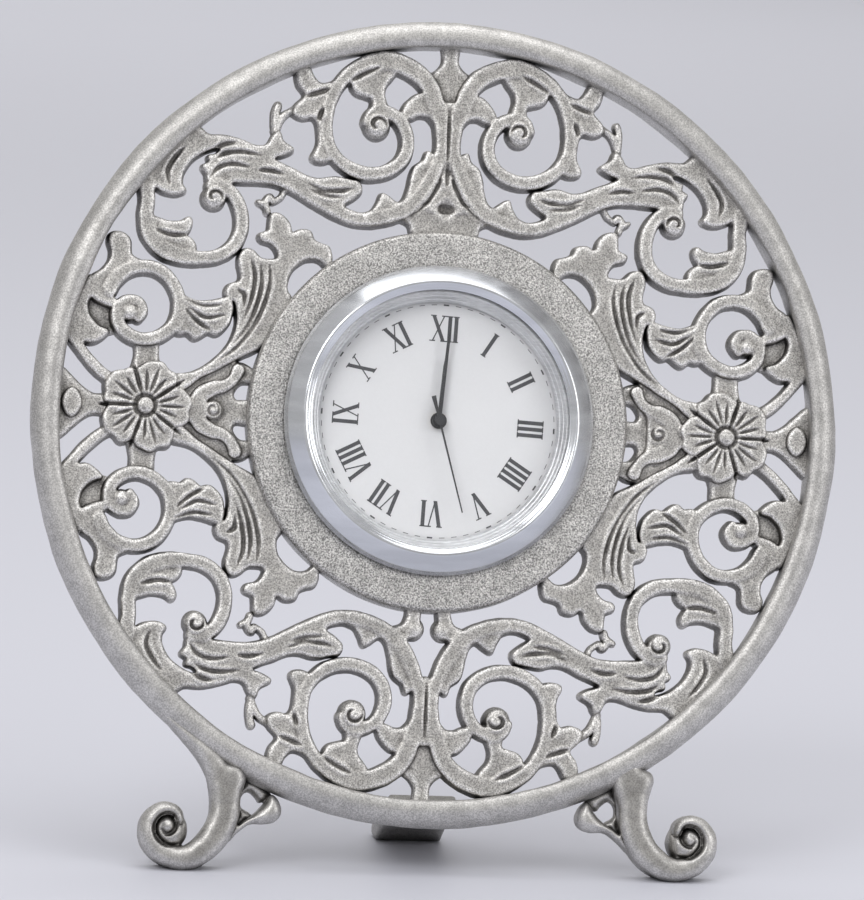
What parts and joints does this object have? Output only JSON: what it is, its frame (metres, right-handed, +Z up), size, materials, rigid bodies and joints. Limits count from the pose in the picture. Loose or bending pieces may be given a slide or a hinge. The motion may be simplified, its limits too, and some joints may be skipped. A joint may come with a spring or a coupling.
{
  "type": "table clock",
  "caption": "Round openwork pewter table clock: scroll and flower frame on scroll feet and a rear leg, with a push-in quartz insert, chrome bezel and Roman numerals.",
  "frame": {"origin": "on the floor, at the middle of the outline seen from above", "axes": "+Z up, dial towards -Y and leaning back, +X to the right seen from the front"},
  "size_m": [0.0954, 0.0284, 0.0977],
  "materials": {
    "pewter": "sand-cast pewter, burnished on the high edges, dark in the recesses",
    "chrome": "polished chrome plate",
    "lens": "clear flat lens",
    "dial_white": "white enamel paint with dark printed numerals",
    "dial_ring_grey": "silver-grey moulded ring",
    "hand_black": "dark grey lacquer",
    "steel": "plain bright steel",
    "white_plastic": "moulded white",
    "black_plastic": "moulded black",
    "rubber": "moulded black",
    "brass": "plain",
    "magnet": "sintered magnet on a steel arbor",
    "copper": "enamelled copper wire",
    "board_green": "green solder mask"
  },
  "bodies": {
    "frame": {"outer_rim": "pewter", "inner_ring": "pewter", "top_scroll_panel": "pewter", "bottom_scroll_panel": "pewter", "left_flower_panel": "pewter", "right_flower_panel": "pewter", "left_front_foot": "pewter", "right_front_foot": "pewter", "rear_foot": "pewter"},
    "insert": {"case_cup": "steel", "grip_ring": "rubber", "bezel": "chrome", "lens": "lens", "dial_ring": "dial_ring_grey", "dial": "dial_white", "main_plate": "white_plastic", "movement_ring": "white_plastic", "train_bridge": "white_plastic", "bridge_screw_1": "steel", "bridge_screw_2": "steel", "bridge_screw_3": "steel", "stator": "steel", "coil_core": "steel", "coil_winding": "copper", "circuit_board": "board_green", "quartz_can": "steel", "battery": "steel", "battery_clip": "steel"},
    "cover": {"back_cover": "steel"},
    "seconds": {"second_hand": "hand_black", "seconds_wheel": "brass"},
    "minutes": {"minute_hand": "hand_black", "centre_wheel": "brass"},
    "hours": {"hour_hand": "hand_black", "hour_wheel": "brass"},
    "third": {"third_wheel": "brass"},
    "intermediate": {"intermediate_wheel": "brass"},
    "motor_rotor": {"rotor": "magnet"},
    "setting": {"minute_wheel": "brass", "setting_knob": "black_plastic"}
  },
  "joints": [
    {"name": "insert_pull", "type": "slide", "parent": "frame", "child": "insert", "axis": [0, -0.9703, 0.2419], "range_m": [0, 0.025]},
    {"name": "cover_pull", "type": "slide", "parent": "insert", "child": "cover", "axis": [0, 0.9703, -0.2419], "range_m": [0, 0.008]},
    {"name": "seconds_spin", "type": "hinge", "parent": "insert", "child": "seconds", "pos_m": [0, 0.00299, 0.05084], "axis": [0, 0.9703, -0.2419], "continuous": true},
    {"name": "minutes_spin", "type": "hinge", "parent": "insert", "child": "minutes", "pos_m": [0, 0.00299, 0.05084], "axis": [0, 0.9703, -0.2419], "continuous": true},
    {"name": "hours_spin", "type": "hinge", "parent": "insert", "child": "hours", "pos_m": [0, 0.00299, 0.05084], "axis": [0, 0.9703, -0.2419], "continuous": true},
    {"name": "third_spin", "type": "hinge", "parent": "insert", "child": "third", "pos_m": [0, 0.00469, 0.05764], "axis": [0, 0.9703, -0.2419], "continuous": true},
    {"name": "intermediate_spin", "type": "hinge", "parent": "insert", "child": "intermediate", "pos_m": [0.00624, 0.00212, 0.04735], "axis": [0, 0.9703, -0.2419], "continuous": true},
    {"name": "rotor_spin", "type": "hinge", "parent": "insert", "child": "motor_rotor", "pos_m": [0.005, 0.0013, 0.04407], "axis": [0, 0.9703, -0.2419], "continuous": true},
    {"name": "setting_spin", "type": "hinge", "parent": "insert", "child": "setting", "pos_m": [-0.00509, 0.00176, 0.0459], "axis": [0, 0.9703, -0.2419], "continuous": true}
  ],
  "couplings": [
    {"joint": "third_spin", "follows": "seconds_spin", "ratio": -0.13333},
    {"joint": "minutes_spin", "follows": "seconds_spin", "ratio": 0.016667},
    {"joint": "setting_spin", "follows": "seconds_spin", "ratio": -0.0055556},
    {"joint": "hours_spin", "follows": "seconds_spin", "ratio": 0.0013889},
    {"joint": "intermediate_spin", "follows": "seconds_spin", "ratio": -6},
    {"joint": "rotor_spin", "follows": "seconds_spin", "ratio": 30}
  ]
}
